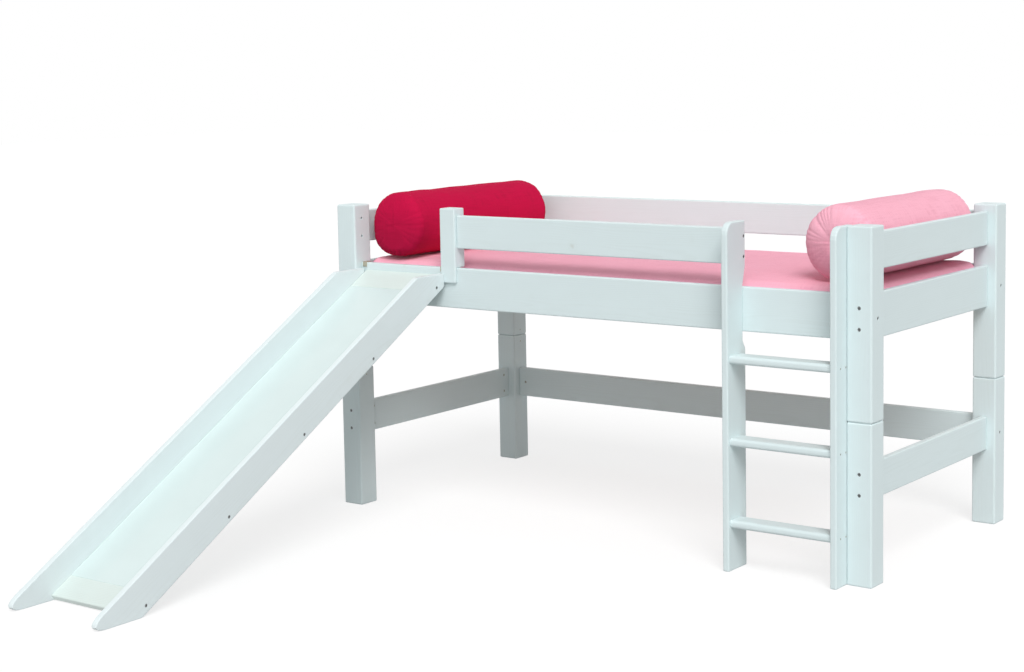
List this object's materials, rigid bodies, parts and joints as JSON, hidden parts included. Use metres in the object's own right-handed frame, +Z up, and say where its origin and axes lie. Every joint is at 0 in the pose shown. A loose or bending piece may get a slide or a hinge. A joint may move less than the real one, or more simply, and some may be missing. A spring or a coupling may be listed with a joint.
{
  "type": "loft bed with slide",
  "caption": "Mid-high child's bed of white painted timber, with guard boards, a ladder, a slide hooked on the side rail, a slatted base, a mattress and round bolsters.",
  "frame": {"origin": "on the floor, under the middle of the whole outline, slide included", "axes": "+X along the bed from the slide's end to the ladder's end, +Y from the foot of the slide to the back of the bed, +Z up"},
  "size_m": [2.11, 2.6042, 1.1424],
  "materials": {
    "white_paint": "satin",
    "panel_gloss": "gloss",
    "cream_paint": "satin",
    "raw_pine": "matte",
    "zinc_steel": "satin",
    "pink_cover": "matte",
    "pale_pink_cover": "matte",
    "crimson_cover": "matte"
  },
  "bodies": {
    "frame": {"post_front_left": "white_paint", "leg_front_left": "white_paint", "seam_pin_front_left": "raw_pine", "post_front_right": "white_paint", "leg_front_right": "white_paint", "seam_pin_front_right": "raw_pine", "post_back_left": "white_paint", "leg_back_left": "white_paint", "seam_pin_back_left": "raw_pine", "post_back_right": "white_paint", "leg_back_right": "white_paint", "seam_pin_back_right": "raw_pine", "side_rail_front": "white_paint", "side_rail_back": "white_paint", "guard_rail_front": "white_paint", "guard_rail_back": "white_paint", "guard_support": "white_paint", "stretcher_back": "white_paint", "end_rail_left": "white_paint", "end_guard_left": "white_paint", "end_stretcher_left": "white_paint", "end_rail_right": "white_paint", "end_guard_right": "white_paint", "end_stretcher_right": "white_paint", "slat_cleat_front": "raw_pine", "slat_cleat_back": "raw_pine", "slat_01": "raw_pine", "slat_02": "raw_pine", "slat_03": "raw_pine", "slat_04": "raw_pine", "slat_05": "raw_pine", "slat_06": "raw_pine", "slat_07": "raw_pine", "slat_08": "raw_pine", "slat_09": "raw_pine", "slat_10": "raw_pine", "slat_11": "raw_pine", "slat_12": "raw_pine", "ladder_stile_left": "white_paint", "ladder_stile_right": "white_paint", "ladder_rung_1": "white_paint", "ladder_rung_2": "white_paint", "ladder_rung_3": "white_paint"},
    "mattress": {"mattress": "pink_cover"},
    "bolster_left": {"bolster_left": "crimson_cover"},
    "bolster_right": {"bolster_right": "pale_pink_cover"},
    "slide": {"slide_side_left": "white_paint", "slide_side_right": "white_paint", "slide_panel": "panel_gloss", "slide_top_board": "cream_paint", "slide_foot_board": "cream_paint", "slide_batten_1": "white_paint", "slide_batten_2": "white_paint", "slide_batten_3": "white_paint", "slide_hook_left": "zinc_steel", "slide_hook_right": "zinc_steel"}
  },
  "joints": [
    {"name": "mattress_lift", "type": "slide", "parent": "frame", "child": "mattress", "axis": [0, 0, 1], "range_m": [0, 0.32]},
    {"name": "bolster_left_lift", "type": "slide", "parent": "mattress", "child": "bolster_left", "axis": [0, 0, 1], "range_m": [0, 0.2]},
    {"name": "bolster_right_lift", "type": "slide", "parent": "mattress", "child": "bolster_right", "axis": [0, 0, 1], "range_m": [0, 0.2]},
    {"name": "slide_lift", "type": "slide", "parent": "frame", "child": "slide", "axis": [0, 0, 1], "range_m": [0, 0.12]}
  ]
}
